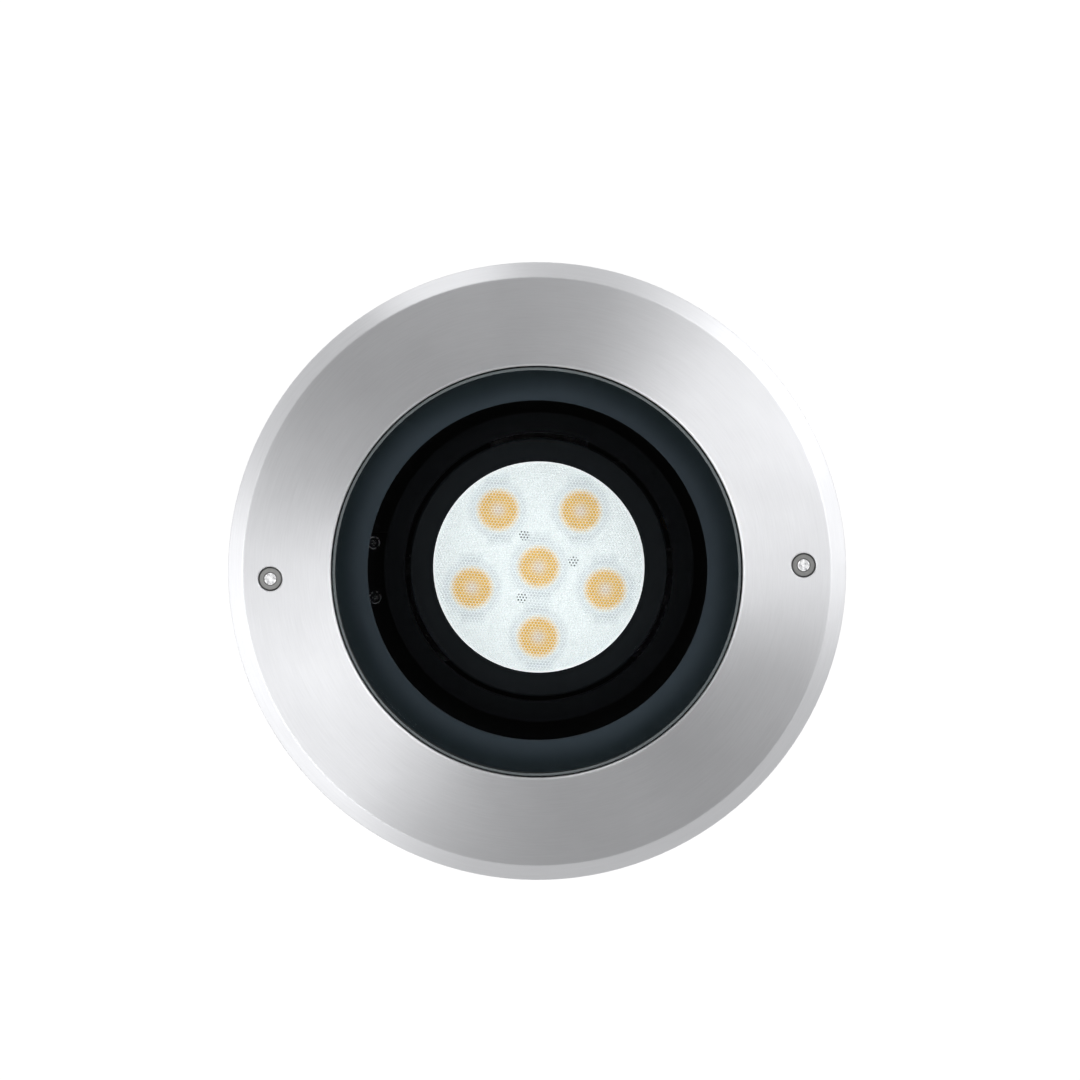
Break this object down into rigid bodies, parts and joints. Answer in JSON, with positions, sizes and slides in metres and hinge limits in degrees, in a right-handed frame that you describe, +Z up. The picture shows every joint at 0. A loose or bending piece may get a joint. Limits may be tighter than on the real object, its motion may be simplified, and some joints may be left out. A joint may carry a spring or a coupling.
{
  "type": "in ground well light",
  "caption": "Round in-ground uplight: bevelled stainless ring and flush glass over a turning, tilting LED head in a cast pot, hung in a buried sleeve with conduit entries.",
  "frame": {"origin": "middle of the sleeve's underside, on the surface that it stands on", "axes": "+Z up through the middle of the face, +X through one cover screw, +Y through the back conduit entry"},
  "size_m": [0.22, 0.22, 0.24],
  "materials": {
    "stainless": "circular brushed, satin",
    "screw_steel": "plain stainless",
    "screw_black": "blackened steel",
    "spring_steel": "dark spring steel",
    "zinc_steel": "zinc plated sheet",
    "brass": "turned",
    "rubber": "matt black",
    "silicone": "grey silicone",
    "clear_glass": "toughened, polished",
    "charcoal_coat": "charcoal, satin",
    "black_coat": "black powder coat, fine grain",
    "bezel_black": "black, satin",
    "black_anodised": "die-cast, black anodised",
    "nylon": "black nylon",
    "white_board": "white solder mask",
    "led_phosphor": "amber phosphor under clear silicone",
    "clear_plastic": "clear acrylic",
    "lens_white": "honeycomb lens, milky",
    "driver_case": "white moulded case",
    "terminal_plastic": "pale grey moulded",
    "wire_sleeve": "wire insulation",
    "entry_plastic": "black polyamide",
    "sleeve_plastic": "black polypropylene, moulded",
    "adaptor_plastic": "dark grey moulded"
  },
  "bodies": {
    "root": {"cover_ring": "stainless", "cover_screws": "screw_steel", "screw_inserts": "brass", "rim_gasket": "rubber", "glass": "clear_glass", "glass_gasket": "silicone", "mask_ring": "charcoal_coat", "clamp_ring": "stainless", "clamp_screws": "screw_steel", "lamp_housing": "black_coat", "snap_ring": "spring_steel", "driver_tray": "zinc_steel", "tray_screws": "screw_steel", "driver": "driver_case", "driver_screws": "screw_steel", "terminal_bracket": "zinc_steel", "terminal_block": "terminal_plastic", "terminal_screws": "screw_steel", "driver_wires": "wire_sleeve", "earth_screw": "brass", "entry_seals": "rubber", "entry_locknuts": "entry_plastic", "gland_body": "entry_plastic", "gland_seal": "rubber", "gland_nut": "entry_plastic", "blind_plug": "entry_plastic", "vent_plug": "entry_plastic", "sleeve_base": "sleeve_plastic", "base_screws": "screw_steel", "sleeve": "sleeve_plastic", "sleeve_collar": "sleeve_plastic", "conduit_adaptors": "adaptor_plastic", "adaptor_locknuts": "adaptor_plastic"},
    "turntable": {"turntable": "black_coat", "tilt_bracket": "black_coat", "bracket_screws": "screw_black"},
    "lamp_head": {"heat_sink": "black_anodised", "lead_grommet": "rubber", "thermal_pad": "silicone", "led_board": "white_board", "board_screws": "screw_steel", "led_emitters": "led_phosphor", "collimators": "clear_plastic", "lens_plate": "lens_white", "lens_bezel": "bezel_black", "pivot_screws": "screw_black", "pivot_washers": "nylon"}
  },
  "joints": [
    {"name": "aim_turn", "type": "hinge", "parent": "root", "child": "turntable", "pos_m": [0, 0, 0.1732], "axis": [0, 0, 1], "range_deg": [-175, 175]},
    {"name": "lamp_tilt", "type": "hinge", "parent": "turntable", "child": "lamp_head", "pos_m": [0, 0, 0.181], "axis": [1, 0, 0], "range_deg": [-15, 15]}
  ]
}
